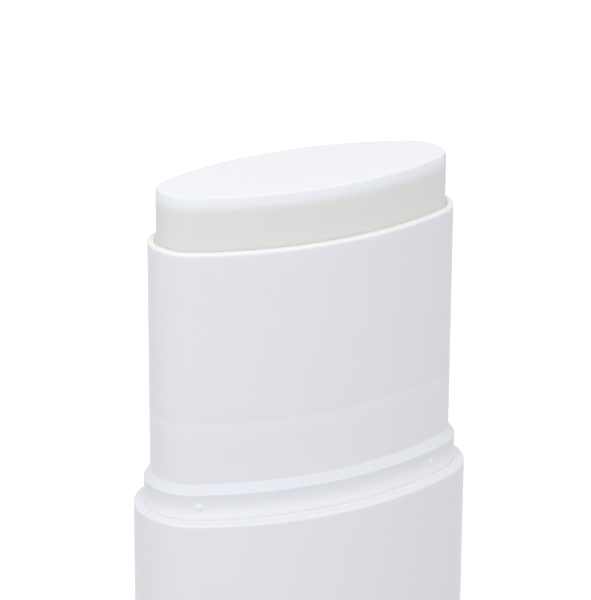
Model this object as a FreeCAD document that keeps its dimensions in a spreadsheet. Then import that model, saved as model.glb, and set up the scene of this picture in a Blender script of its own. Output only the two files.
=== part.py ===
"""Twist-up sunscreen stick: an oval case, a sleeve, a bar on an elevator, and a dial that turns a screw.

All sizes are in millimetres. The origin is at the middle of the case's foot, +Z is up, +X runs along the
long side of the oval and -Y is the front.
"""
import FreeCAD, Part
import math
import os
import re

import Sketcher
from FreeCAD import Placement, Rotation, Vector

# ---------------------------------------------------------------------------------------------------------
# Driving sizes. Every cell is a plain number; everything else follows from these by expressions.
# A share is the largest part of a wall that the rounding of its edge may take.
# ---------------------------------------------------------------------------------------------------------
SIZES = {
    # outer case
    "case_length": 50.0,
    "case_width": 23.95,
    "case_end_radius": 8.41,
    # how much wider and blunter the case's outside is than the outline that everything inside follows
    "case_bulge": 0.67,
    "case_blunt": 0.65,
    "case_height": 28.0,
    "case_wall": 1.37,
    "case_floor": 1.2,
    "rim_round": 0.35,
    "rim_share": 0.85,
    "foot_round": 0.5,
    "foot_share": 0.5,
    "rib_wide": 1.0,
    # how far a cut runs past what it cuts
    "overrun": 1.0,
    # window in the front and back of the case, where the dial is turned
    "window_width": 20.0,
    "window_height": 11.4,
    "window_round": 2.0,
    # collar of the inner sleeve, which the cap slides over
    "collar_gap": 0.01,
    "collar_step": 0.88,
    "collar_reach": 3.75,
    "collar_sink": 6.0,
    "bevel_rise": 1.3,
    # small round pips on the collar, which hold the cap; one diagonal pair stands nearer the ends
    "pip_radius": 0.9,
    "pip_height": 0.25,
    "pip_level": 2.0,
    "pip_turn": 66.2,
    "pip_turn_inner": 69.5,
    # inner sleeve
    "sleeve_reach": 38.4,
    "sleeve_wall": 0.99,
    "sleeve_depth": 49.4,
    "sleeve_floor": 1.6,
    "lip_round": 0.4,
    "lip_share": 0.42,
    "bearing_length": 4.8,
    "bearing_wall": 2.0,
    # elevator
    "slide_gap": 0.2,
    "cup_drop": 24.5,
    "cup_depth": 4.0,
    "cup_wall": 0.9,
    "elevator_floor": 1.2,
    "skirt_drop": 6.0,
    "web_wide": 1.0,
    "nut_drop": 10.0,
    "nut_wall": 1.5,
    # bar
    "bar_gap": 0.18,
    "bar_proud": 7.4,
    "bar_round": 0.3,
    "bar_cap": 2.9,
    "bore_gap": 0.4,
    "cast_gap": 0.05,
    # screw spindle
    "core_radius": 2.3,
    "thread_radius": 3.3,
    "thread_lead": 3.0,
    "thread_root": 1.5,
    "thread_crest": 0.8,
    "thread_gap": 0.2,
    "thread_sink": 0.2,
    "spindle_short": 4.0,
    "tip_bevel": 0.6,
    "journal_radius": 3.0,
    "bearing_gap": 0.06,
    "flange_radius": 4.8,
    "flange_thick": 1.2,
    "end_play": 0.1,
    "tail_side": 3.6,
    "tail_length": 7.0,
    # seal ring on the spindle
    "seal_section": 0.94,
    "seal_gap": 0.04,
    "seal_drop": 2.4,
    # dial
    "dial_lift": 0.8,
    "dial_proud": 0.35,
    "dial_height": 10.0,
    "dial_wall": 1.6,
    "dial_floor": 1.4,
    "dial_round": 0.5,
    "dial_gap": 0.5,
    "hub_wall": 1.8,
    "hub_gap": 0.2,
    "socket_gap": 0.03,
    "spoke_wide": 1.0,
    "grip_depth": 0.45,
    "grip_wide": 0.9,
    "grip_count": 48,
}

# Offsets of the oval outlines, counted outwards from the outline that is as long as the case.
CASE_INSIDE = "(0 - case_wall)"
COLLAR_OUTSIDE = f"({CASE_INSIDE} - collar_gap)"
SLEEVE_OUTSIDE = f"({COLLAR_OUTSIDE} - collar_step)"
SLEEVE_INSIDE = f"({SLEEVE_OUTSIDE} - sleeve_wall)"
BAR_OUTSIDE = f"({SLEEVE_INSIDE} - bar_gap)"
CUP_OUTSIDE = f"({SLEEVE_INSIDE} - slide_gap)"
CUP_INSIDE = f"({CUP_OUTSIDE} - cup_wall)"
BAR_FOOT = f"({CUP_INSIDE} - cast_gap)"

# Levels, counted up from the foot of the case.
RIB_ROOT = "(case_floor / 2)"
COLLAR_FOOT = "(case_height - collar_sink)"
COLLAR_TOP = "(case_height + collar_reach)"
LIP = "(case_height + sleeve_reach)"
SLEEVE_BED = f"({LIP} - sleeve_depth)"
SLEEVE_FOOT = f"({SLEEVE_BED} - sleeve_floor)"
BEARING_FOOT = f"({SLEEVE_BED} - bearing_length)"
BAR_TOP = f"({LIP} + bar_proud)"
CUP_RIM = f"({LIP} - cup_drop)"
CUP_BED = f"({CUP_RIM} - cup_depth)"
PLATE_UNDER = f"({CUP_BED} - elevator_floor)"
SKIRT_FOOT = f"({PLATE_UNDER} - skirt_drop)"
NUT_FOOT = f"({PLATE_UNDER} - nut_drop)"
FLANGE_FOOT = f"({SLEEVE_BED} + end_play)"
FLANGE_TOP = f"({FLANGE_FOOT} + flange_thick)"
SPINDLE_TOP = f"({LIP} - spindle_short)"
THREAD_START = f"({FLANGE_TOP} + thread_lead / 2)"
JOURNAL_FOOT = f"({BEARING_FOOT} - hub_gap)"
SEAL_LEVEL = f"({SLEEVE_BED} - seal_drop)"
DIAL_BED = "(dial_lift + dial_floor)"
DIAL_TOP = "(dial_lift + dial_height)"

# Radii and half sizes that more than one piece uses.
HALF_LENGTH = "(case_length / 2)"
HALF_WIDTH = "(case_width / 2)"
END_RADIUS = "case_end_radius"
END_CENTRE = f"({HALF_LENGTH} - {END_RADIUS})"
CASE_HALF_WIDTH = "(case_width / 2 + case_bulge)"
CASE_END_RADIUS = "(case_end_radius + case_blunt)"


def side_radius(half_width, end_radius):
    """Radius of the two long arcs of an oval that is as long as the case."""
    centre = f"({HALF_LENGTH} - {end_radius})"
    spread = f"({centre} ^ 2 + {half_width} ^ 2 - {end_radius} ^ 2)"
    return f"({spread} / (2 * ({half_width} - {end_radius})))"


SIDE_RADIUS = side_radius(HALF_WIDTH, END_RADIUS)
INNER_OUTLINE = (HALF_WIDTH, END_RADIUS)
CASE_OUTLINE = (CASE_HALF_WIDTH, CASE_END_RADIUS)
BEARING_BORE = "(journal_radius + bearing_gap)"
SEAL_RADIUS = f"({BEARING_BORE} - seal_gap - seal_section / 2)"
NUT_BORE = "(core_radius + thread_gap)"
NUT_GROOVE = "(thread_radius + thread_gap)"
DIAL_RADIUS = f"({CASE_HALF_WIDTH} + dial_proud)"
HUB_RADIUS = "(tail_side / sqrt(2) + hub_wall)"

RIB_ANGLES = (-60.0, 0.0, 60.0)
LEVEL_SLACK = 1e-4
RADIUS_SLACK = 1e-3

doc = FreeCAD.newDocument("SunscreenStick")
sheet = doc.addObject("Spreadsheet::Sheet", "Sizes")
for row, (alias, value) in enumerate(SIZES.items(), start=1):
    sheet.set(f"A{row}", alias)
    sheet.set(f"B{row}", str(value))
    sheet.setAlias(f"B{row}", alias)
doc.recompute()


# ---------------------------------------------------------------------------------------------------------
# Helpers
# ---------------------------------------------------------------------------------------------------------
def linked(text):
    """The expression with every size's name pointing at its cell in the sheet."""
    return re.sub(r"[a-z_]+", lambda word: f"Sizes.{word[0]}" if word[0] in SIZES else word[0], text)


def worth(text):
    """The present value of an expression."""
    return float(sheet.evalExpression(linked(text)))


def bind(thing, path, text):
    thing.setExpression(path, linked(text))


def new_body(name):
    body = doc.addObject("PartDesign::Body", name)
    body.Label = name
    return body


def origin_plane(body, role):
    return next(plane for plane in body.Origin.OriginFeatures if plane.Role == role)


def new_sketch(body, name, plane="XY_Plane", level="0", place=("0", "0"), turn=0.0):
    """A sketch on one of the body's own planes, lifted to a level, moved sideways and turned there."""
    sketch = body.newObject("Sketcher::SketchObject", name)
    sketch.AttachmentSupport = (origin_plane(body, plane), [""])
    sketch.MapMode = "FlatFace"
    sketch.AttachmentOffset = Placement(Vector(0, 0, 0), Rotation(Vector(0, 0, 1), turn))
    bind(sketch, "AttachmentOffset.Base.x", place[0])
    bind(sketch, "AttachmentOffset.Base.y", place[1])
    bind(sketch, "AttachmentOffset.Base.z", level)
    return sketch


def size_constraint(sketch, label, kind, *where, text):
    """A driving dimension bound to an expression."""
    index = sketch.addConstraint(Sketcher.Constraint(kind, *where, worth(text)))
    sketch.renameConstraint(index, label)
    bind(sketch, f"Constraints.{label}", text)


def draw_oval(sketch, offset, outline=INNER_OUTLINE):
    """Four tangent arcs: an outline moved outwards by an offset, with the same centres."""
    half_width, end_radius = outline
    end_centre = f"({HALF_LENGTH} - {end_radius})"
    long_radius = side_radius(half_width, end_radius)
    centre = worth(end_centre)
    side = worth(long_radius)
    drop = side - worth(half_width)
    end_r = worth(f"{end_radius} + {offset}")
    side_r = worth(f"{long_radius} + {offset}")
    join = math.atan2(drop, centre)
    up = Vector(0, 0, 1)
    arcs = (
        (Vector(centre, 0, 0), end_r, -join, join),
        (Vector(0, -drop, 0), side_r, join, math.pi - join),
        (Vector(-centre, 0, 0), end_r, math.pi - join, math.pi + join),
        (Vector(0, drop, 0), side_r, math.pi + join, 2 * math.pi - join),
    )
    for middle, radius, start, stop in arcs:
        sketch.addGeometry(Part.ArcOfCircle(Part.Circle(middle, up, radius), start, stop))
    right, top, left, bottom = range(4)
    rules = (
        ("Tangent", right, 2, top, 1),
        ("Coincident", top, 2, left, 1),
        ("Coincident", left, 2, bottom, 1),
        ("Coincident", bottom, 2, right, 1),
        ("Symmetric", top, 1, top, 2, -2),
        ("Symmetric", right, 1, right, 2, -1),
        ("Symmetric", top, 1, bottom, 1, -1, 1),
        ("Equal", right, left),
        ("Equal", top, bottom),
    )
    for rule in rules:
        sketch.addConstraint(Sketcher.Constraint(*rule))
    size_constraint(sketch, "end_centre", "DistanceX", -1, 1, right, 3, text=end_centre)
    size_constraint(sketch, "end_radius", "Radius", right, text=f"{end_radius} + {offset}")
    size_constraint(sketch, "side_radius", "Radius", top, text=f"{long_radius} + {offset}")


def draw_polygon(sketch, corners):
    """A closed polygon whose corners are pairs of expressions."""
    points = [Vector(worth(across), worth(along), 0) for across, along in corners]
    count = len(points)
    for index in range(count):
        sketch.addGeometry(Part.LineSegment(points[index], points[(index + 1) % count]))
    for index in range(count):
        sketch.addConstraint(Sketcher.Constraint("Coincident", index, 2, (index + 1) % count, 1))
    for index, (across, along) in enumerate(corners):
        size_constraint(sketch, f"across_{index}", "DistanceX", -1, 1, index, 1, text=across)
        size_constraint(sketch, f"along_{index}", "DistanceY", -1, 1, index, 1, text=along)


def draw_rectangle(sketch, left, right, low, high):
    """A rectangle between two places across and two along."""
    draw_polygon(sketch, ((left, low), (right, low), (right, high), (left, high)))


def draw_centred(sketch, half_across, half_along):
    """A rectangle about the sketch's own origin."""
    draw_rectangle(sketch, f"0 - {half_across}", half_across, f"0 - {half_along}", half_along)


def pad(body, name, sketch, height):
    feature = body.newObject("PartDesign::Pad", name)
    feature.Profile = sketch
    bind(feature, "Length", height)
    return feature


def pocket(body, name, sketch, depth, upwards=False, middle=False):
    """Cut a sketch into the body, downwards from its plane unless told otherwise."""
    before = volume(body)
    feature = body.newObject("PartDesign::Pocket", name)
    feature.Profile = sketch
    feature.Reversed = upwards
    feature.Midplane = middle
    bind(feature, "Length", depth)
    if volume(body) >= before:
        raise RuntimeError(f"{name} cuts nothing")
    return feature


def volume(body):
    doc.recompute()
    return body.Shape.Volume


def oval_pad(body, name, offset, low, high, outline=INNER_OUTLINE):
    sketch = new_sketch(body, name + "Outline", level=low)
    draw_oval(sketch, offset, outline)
    return pad(body, name, sketch, f"({high}) - ({low})")


def oval_pocket(body, name, offset, low, high):
    sketch = new_sketch(body, name + "Outline", level=high)
    draw_oval(sketch, offset)
    return pocket(body, name, sketch, f"({high}) - ({low})")


def cylinder(body, name, radius, low, high, kind="Additive"):
    """A round feature on the body's Z axis between two levels, added or taken away."""
    feature = body.newObject(f"PartDesign::{kind}Cylinder", name)
    bind(feature, "Radius", radius)
    bind(feature, "Height", f"({high}) - ({low})")
    bind(feature, "Placement.Base.z", low)
    return feature


def flat_edges(body, level, keep=lambda edge: True):
    """Names of the edges that lie flat at a level and pass a test."""
    doc.recompute()
    height = worth(level)
    names = []
    for index, edge in enumerate(body.Shape.Edges, start=1):
        box = edge.BoundBox
        if abs(box.ZMin - height) < LEVEL_SLACK and abs(box.ZMax - height) < LEVEL_SLACK and keep(edge):
            names.append(f"Edge{index}")
    if not names:
        raise RuntimeError(f"no edges at {level}")
    return names


def has_radius(edge, radius):
    return hasattr(edge.Curve, "Radius") and abs(edge.Curve.Radius - radius) < RADIUS_SLACK


def outline_edges(body, level, offset, outline=INNER_OUTLINE):
    """Names of the flat edges that belong to one oval outline, told by their radii."""
    radii = (worth(f"{outline[1]} + {offset}"), worth(f"{side_radius(*outline)} + {offset}"))

    def on_outline(edge):
        return any(has_radius(edge, radius) for radius in radii)

    return flat_edges(body, level, on_outline)


def round_edges(body, name, edges, radius):
    base = body.Tip
    feature = body.newObject("PartDesign::Fillet", name)
    feature.Base = (base, edges)
    bind(feature, "Radius", radius)
    return feature


def helix(body, name, profile, height, kind):
    """A left-handed helical ridge or groove about the body's Z axis."""
    feature = body.newObject(f"PartDesign::{kind}Helix", name)
    feature.Profile = profile
    feature.ReferenceAxis = (origin_plane(body, "Z_Axis"), [""])
    feature.Mode = "pitch-height-angle"
    feature.LeftHanded = True
    bind(feature, "Pitch", "thread_lead")
    bind(feature, "Height", height)
    return feature


# ---------------------------------------------------------------------------------------------------------
# Pieces
# ---------------------------------------------------------------------------------------------------------
def make_base_shell():
    """The oval case: one moulding with a floor, seat ribs at both ends and a window front and back."""
    body = new_body("base_shell")
    oval_pad(body, "CaseOutside", "0", "0", "case_height", CASE_OUTLINE)
    oval_pocket(body, "CaseInside", CASE_INSIDE, "case_floor", "case_height")
    for side in (-1, 1):
        for angle in RIB_ANGLES:
            name = f"SeatRib{'Left' if side < 0 else 'Right'}{int(angle - RIB_ANGLES[0])}"
            turn = angle if side > 0 else 180 + angle
            centre = (f"{side} * {END_CENTRE}", "0")
            sketch = new_sketch(body, name + "Outline", level=RIB_ROOT, place=centre, turn=turn)
            tip = "case_end_radius - case_wall / 2"
            draw_rectangle(sketch, "0", tip, "0 - rib_wide / 2", "rib_wide / 2")
            pad(body, name, sketch, f"{SLEEVE_FOOT} - {RIB_ROOT}")
    opening = f"({DIAL_RADIUS} + dial_gap)"
    cylinder(body, "DialOpening", opening, "0 - overrun", "(case_floor + overrun)", kind="Subtractive")
    window = new_sketch(body, "WindowOutline", plane="XZ_Plane")
    half = "(window_width / 2)"
    draw_rectangle(window, f"0 - {half}", half, "0 - overrun", "window_height")
    pocket(body, "Window", window, "case_width * 2", middle=True)

    def upper_corner(edge):
        return abs(abs(edge.BoundBox.Center.x) - worth(half)) < LEVEL_SLACK

    corners = flat_edges(body, "window_height", upper_corner)
    round_edges(body, "WindowRound", corners, "window_round")
    rim = outline_edges(body, "case_height", "0", CASE_OUTLINE)
    round_edges(body, "RimRound", rim, "min(rim_round; rim_share * case_wall)")
    foot = outline_edges(body, "0", "0", CASE_OUTLINE)
    round_edges(body, "FootRound", foot, "min(foot_round; foot_share * case_wall)")
    return body


def make_inner_sleeve():
    """The tube that the bar slides in, with the cap's collar, its floor and the spindle's bearing."""
    body = new_body("inner_sleeve")
    oval_pad(body, "Tube", SLEEVE_OUTSIDE, SLEEVE_FOOT, LIP)
    oval_pad(body, "Collar", COLLAR_OUTSIDE, COLLAR_FOOT, COLLAR_TOP)
    wide = new_sketch(body, "BevelFoot", level=COLLAR_TOP)
    draw_oval(wide, COLLAR_OUTSIDE)
    narrow = new_sketch(body, "BevelTop", level=f"{COLLAR_TOP} + bevel_rise")
    draw_oval(narrow, SLEEVE_OUTSIDE)
    bevel = body.newObject("PartDesign::AdditiveLoft", "Bevel")
    bevel.Profile = wide
    bevel.Sections = [narrow]
    bevel.Ruled = True
    cylinder(body, "Bearing", f"{BEARING_BORE} + bearing_wall", BEARING_FOOT, SLEEVE_BED)
    oval_pocket(body, "Chamber", SLEEVE_INSIDE, SLEEVE_BED, LIP)
    bore_low = f"({BEARING_FOOT} - overrun)"
    bore_high = f"({SLEEVE_BED} + overrun)"
    cylinder(body, "BearingBore", BEARING_BORE, bore_low, bore_high, kind="Subtractive")
    reach = f"({SIDE_RADIUS} + {COLLAR_OUTSIDE} + pip_height - pip_radius)"
    for side in (-1, 1):
        for face in (-1, 1):
            name = f"Pip{'Left' if side < 0 else 'Right'}{'Front' if face < 0 else 'Back'}"
            turn = "pip_turn" if side == face else "pip_turn_inner"
            pip = body.newObject("PartDesign::AdditiveSphere", name)
            bind(pip, "Radius", "pip_radius")
            bind(pip, "Placement.Base.x", f"{side} * {reach} * cos({turn})")
            across = f"({reach} * sin({turn}) + {HALF_WIDTH} - {SIDE_RADIUS})"
            bind(pip, "Placement.Base.y", f"{face} * {across}")
            bind(pip, "Placement.Base.z", "case_height + pip_level")
    lip = outline_edges(body, LIP, SLEEVE_OUTSIDE) + outline_edges(body, LIP, SLEEVE_INSIDE)
    round_edges(body, "LipRound", lip, "min(lip_round; lip_share * sleeve_wall)")
    return body


def thread_profile(body, name, level, inner, outer, grow):
    """A ridge's section beside the axis, grown on every side by a clearance."""
    sketch = new_sketch(body, name, plane="XZ_Plane")
    draw_polygon(
        sketch,
        (
            (inner, f"{level} - thread_root / 2 - {grow}"),
            (outer, f"{level} - thread_crest / 2 - {grow}"),
            (outer, f"{level} + thread_crest / 2 + {grow}"),
            (inner, f"{level} + thread_root / 2 + {grow}"),
        ),
    )
    return sketch


def make_elevator():
    """The oval platform that carries the bar: a shallow cup, a guide skirt and the nut in the middle."""
    body = new_body("elevator")
    oval_pad(body, "Block", CUP_OUTSIDE, SKIRT_FOOT, CUP_RIM)
    oval_pocket(body, "Cup", CUP_INSIDE, CUP_BED, CUP_RIM)
    hollow = new_sketch(body, "SkirtHollowOutline", level=SKIRT_FOOT)
    draw_oval(hollow, CUP_INSIDE)
    pocket(body, "SkirtHollow", hollow, f"{PLATE_UNDER} - {SKIRT_FOOT}", upwards=True)
    web = new_sketch(body, "WebOutline", level=SKIRT_FOOT)
    reach = f"({HALF_LENGTH} + {CUP_OUTSIDE} - cup_wall / 2)"
    draw_centred(web, reach, "(web_wide / 2)")
    pad(body, "Web", web, f"{PLATE_UNDER} - {SKIRT_FOOT}")
    cylinder(body, "Nut", f"{NUT_GROOVE} + nut_wall", NUT_FOOT, CUP_BED)
    bore_low = f"({NUT_FOOT} - overrun)"
    bore_high = f"({CUP_BED} + overrun)"
    cylinder(body, "NutBore", NUT_BORE, bore_low, bore_high, kind="Subtractive")
    turns_below = f"floor(({NUT_FOOT} - {THREAD_START}) / thread_lead)"
    start = f"({THREAD_START} + thread_lead * ({turns_below} - 1))"
    inner = f"({NUT_BORE} - thread_sink)"
    profile = thread_profile(body, "NutThreadSection", start, inner, NUT_GROOVE, "thread_gap")
    helix(body, "NutThread", profile, f"{CUP_BED} - {start} + thread_lead", "Subtractive")
    return body


def make_screw_spindle():
    """The screw that lifts the elevator: journal, seal groove, thrust flange, thread and square tail."""
    body = new_body("screw_spindle")
    groove_low = f"({SEAL_LEVEL} - seal_section / 2 - seal_gap)"
    groove_high = f"({SEAL_LEVEL} + seal_section / 2 + seal_gap)"
    cylinder(body, "JournalLow", "journal_radius", JOURNAL_FOOT, groove_low)
    cylinder(body, "SealGroove", f"{SEAL_RADIUS} - seal_section / 2 - seal_gap", groove_low, groove_high)
    cylinder(body, "JournalHigh", "journal_radius", groove_high, FLANGE_FOOT)
    cylinder(body, "Flange", "flange_radius", FLANGE_FOOT, FLANGE_TOP)
    cylinder(body, "Core", "core_radius", FLANGE_TOP, SPINDLE_TOP)
    tail = new_sketch(body, "TailOutline", level=JOURNAL_FOOT)
    draw_centred(tail, "(tail_side / 2)", "(tail_side / 2)")
    square = pad(body, "Tail", tail, "tail_length")
    square.Reversed = True
    inner = "(core_radius - thread_sink)"
    profile = thread_profile(body, "ThreadSection", THREAD_START, inner, "thread_radius", "0")
    thread_top = f"({SPINDLE_TOP} - thread_lead / 2 - tip_bevel)"
    helix(body, "Thread", profile, f"{thread_top} - {THREAD_START}", "Additive")

    def at_tip(edge):
        return has_radius(edge, worth("core_radius"))

    tip = flat_edges(body, SPINDLE_TOP, at_tip)
    base = body.Tip
    chamfer = body.newObject("PartDesign::Chamfer", "TipBevel")
    chamfer.Base = (base, tip)
    bind(chamfer, "Size", "tip_bevel")
    return body


def make_seal_ring():
    """The soft ring in the spindle's groove, which keeps the chamber tight and gives the dial its drag."""
    ring = doc.addObject("Part::Torus", "seal_ring")
    ring.Label = "seal_ring"
    bind(ring, "Radius1", SEAL_RADIUS)
    bind(ring, "Radius2", "seal_section / 2")
    bind(ring, "Placement.Base.z", SEAL_LEVEL)
    return ring


def make_dial():
    """The round dial under the case: a cup with a notched rim, spokes and a socket for the spindle."""
    body = new_body("dial")
    cylinder(body, "Wheel", DIAL_RADIUS, "dial_lift", DIAL_TOP)
    doc.recompute()
    round_edges(body, "WheelRound", flat_edges(body, "dial_lift"), "dial_round")
    hollow = f"({DIAL_RADIUS} - dial_wall)"
    cylinder(body, "WheelHollow", hollow, DIAL_BED, f"({DIAL_TOP} + overrun)", kind="Subtractive")
    length = f"({DIAL_RADIUS} - dial_wall / 2)"
    for name, across, along in (
        ("SpokesAlong", length, "(spoke_wide / 2)"),
        ("SpokesAcross", "(spoke_wide / 2)", length),
    ):
        sketch = new_sketch(body, name + "Outline", level=DIAL_BED)
        draw_centred(sketch, across, along)
        pad(body, name, sketch, f"{DIAL_TOP} - {DIAL_BED} - dial_wall")
    cylinder(body, "Hub", HUB_RADIUS, DIAL_BED, JOURNAL_FOOT)
    socket = new_sketch(body, "SocketOutline", level=JOURNAL_FOOT)
    side = "(tail_side / 2 + socket_gap)"
    draw_centred(socket, side, side)
    pocket(body, "Socket", socket, "tail_length + socket_gap")
    notch = new_sketch(body, "GripOutline", level=DIAL_TOP, place=(DIAL_RADIUS, "0"))
    corners = (("0 - grip_depth", "0"), ("grip_depth", "0 - grip_wide"), ("grip_depth", "grip_wide"))
    draw_polygon(notch, corners)
    groove = pocket(body, "Grip", notch, "dial_height - dial_round")
    pattern = body.newObject("PartDesign::PolarPattern", "GripPattern")
    pattern.Originals = [groove]
    pattern.Axis = (origin_plane(body, "Z_Axis"), [""])
    pattern.Angle = 360
    bind(pattern, "Occurrences", "grip_count")
    body.Tip = pattern
    return body


def make_sunscreen_bar():
    """The bar of sunscreen, cast into the elevator's cup round the screw."""
    body = new_body("sunscreen_bar")
    shoulder = f"({CUP_RIM} + cast_gap)"
    oval_pad(body, "Foot", BAR_FOOT, f"({CUP_BED} + cast_gap)", shoulder)
    oval_pad(body, "Bar", BAR_OUTSIDE, shoulder, BAR_TOP)
    bore_low = f"({CUP_BED} - overrun)"
    bore_high = f"({BAR_TOP} - bar_cap)"
    cylinder(body, "Bore", "thread_radius + bore_gap", bore_low, bore_high, kind="Subtractive")
    top = outline_edges(body, BAR_TOP, BAR_OUTSIDE)
    round_edges(body, "BarRound", top, "bar_round")
    return body


pieces = [
    make_base_shell(),
    make_inner_sleeve(),
    make_elevator(),
    make_screw_spindle(),
    make_seal_ring(),
    make_dial(),
    make_sunscreen_bar(),
]
doc.recompute()

for thing in doc.Objects:
    if "Invalid" in thing.State or "Error" in thing.State:
        raise RuntimeError(f"{thing.Name} did not build: {thing.State}")
for piece in pieces:
    if piece.Shape.isNull() or not piece.Shape.isValid() or len(piece.Shape.Solids) != 1:
        raise RuntimeError(f"{piece.Label} is not one valid solid")

os.makedirs("parts", exist_ok=True)
for piece in pieces:
    piece.Shape.exportStep(os.path.join("parts", piece.Label + ".step"))
    box = piece.Shape.optimalBoundingBox(True, False)
    print(
        f"{piece.Label}: {piece.Shape.Volume:.1f} mm3, "
        f"x {box.XMin:.2f} {box.XMax:.2f}, y {box.YMin:.2f} {box.YMax:.2f}, z {box.ZMin:.2f} {box.ZMax:.2f}"
    )
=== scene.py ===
"""Looks of a twist-up sunscreen stick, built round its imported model.

The file is laid out as a Blender add-on: sizes, finishes and colours are properties, each piece has an
operator, and main() runs them in order. Everything is in metres, in the model's own frame: +Z up along the
spindle, +X along the long side of the oval, -Y towards the front.
"""
import math

import bmesh
import bpy
from bpy.props import FloatProperty, FloatVectorProperty, IntProperty, PointerProperty
from mathutils import Matrix, Vector


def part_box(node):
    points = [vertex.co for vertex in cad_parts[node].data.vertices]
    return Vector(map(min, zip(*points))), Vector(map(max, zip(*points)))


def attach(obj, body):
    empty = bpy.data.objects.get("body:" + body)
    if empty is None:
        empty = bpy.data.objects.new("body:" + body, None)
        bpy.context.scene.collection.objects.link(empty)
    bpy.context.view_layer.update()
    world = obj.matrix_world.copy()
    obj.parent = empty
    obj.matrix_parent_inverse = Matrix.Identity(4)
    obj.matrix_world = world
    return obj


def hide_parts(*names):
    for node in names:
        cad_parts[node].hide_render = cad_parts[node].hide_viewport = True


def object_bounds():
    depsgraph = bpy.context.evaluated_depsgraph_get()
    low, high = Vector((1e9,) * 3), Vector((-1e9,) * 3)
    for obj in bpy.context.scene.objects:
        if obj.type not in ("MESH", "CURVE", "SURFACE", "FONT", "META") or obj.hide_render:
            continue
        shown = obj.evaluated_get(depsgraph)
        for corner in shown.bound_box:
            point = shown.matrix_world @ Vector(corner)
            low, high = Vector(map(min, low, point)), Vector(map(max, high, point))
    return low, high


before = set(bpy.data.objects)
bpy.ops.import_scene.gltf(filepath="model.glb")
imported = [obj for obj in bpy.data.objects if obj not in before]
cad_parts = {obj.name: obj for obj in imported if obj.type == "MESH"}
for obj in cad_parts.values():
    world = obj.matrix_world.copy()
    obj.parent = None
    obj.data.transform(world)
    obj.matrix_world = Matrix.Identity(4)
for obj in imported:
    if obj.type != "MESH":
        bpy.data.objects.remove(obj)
CAD_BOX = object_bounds()

bl_info = {
    "name": "Sunscreen stick",
    "version": (1, 0, 0),
    "blender": (4, 5, 0),
    "location": "View3D > Sidebar > Stick",
    "description": "Finishes the pieces of a twist-up sunscreen stick and sets its studio",
    "category": "Object",
}

MM = 0.001
FULL_TURN = 2 * math.pi
QUARTER_TURN = math.pi / 2

# Steps of the meshes
END_STEPS = 24
SIDE_STEPS = 40
WHEEL_STEPS = 192
ROUND_STEPS = 6
RIB_STEPS = 4
PLATE_STEPS = 2
FLOOR_STEPS = 96
CROWN_RINGS = (0.92, 0.75, 0.5, 0.25)
SHARP_EDGE = math.radians(32)

# How light behaves in the materials
WHITE = (1.0, 1.0, 1.0, 1.0)
PLASTIC_IOR = 1.46
WAX_IOR = 1.44
PLASTIC_SCATTER = (1.0, 0.9, 0.85)
WAX_SCATTER = (1.0, 0.95, 0.85)
SLEEVE_SCATTER_WEIGHT = 0.5
WAX_SCATTER_WEIGHT = 0.6
WAX_ROUGHNESS_SPREAD = 0.06

# Noise textures
NOISE_MIDDLE = 0.5
CLOUD_NOISE = {"Detail": 3.0, "Roughness": 0.5}
GRAIN_NOISE = {"Detail": 2.0, "Roughness": 0.6}
POUR_NOISE = {"Scale": 900.0, "Detail": 4.0, "Roughness": 0.55}

# Where tones change, most of them painted light and shade: by how far a face looks up, by height, or by share
# of the bar's rounded edge
RIM_SHADE_FACING = (0.3, 0.9)
TOP_LIGHT_FACING = (0.85, 1.0)
COLLAR_SOFT = 0.1 * MM
ROUNDING_SHADE_SHARE = 0.65

# Stage: sides in degrees, sizes in lengths of the object's diagonal
KEY_AZIMUTH = -35
KEY_ELEVATION = 50
KEY_SIZE = 5
KEY_DISTANCE = 6
FLOOR_RADIUS = 30
CLIP_START = 0.01


# ---------------------------------------------------------------------------------------------------------
# Properties
# ---------------------------------------------------------------------------------------------------------
def colour(name, description, default):
    return FloatVectorProperty(
        name=name, description=description, default=default, subtype="COLOR", size=3, min=0.0, max=1.0
    )


def length(name, description, default_mm):
    return FloatProperty(
        name=name, description=description, default=default_mm * MM, unit="LENGTH", subtype="DISTANCE"
    )


def share(name, description, default):
    return FloatProperty(
        name=name, description=description, default=default, min=0.0, max=1.0, subtype="FACTOR"
    )


def angle(name, description, default_degrees):
    default = math.radians(default_degrees)
    return FloatProperty(
        name=name, description=description, default=default, unit="ROTATION", subtype="ANGLE"
    )


def amount(name, description, default):
    return FloatProperty(name=name, description=description, default=default, min=0.0)


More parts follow.
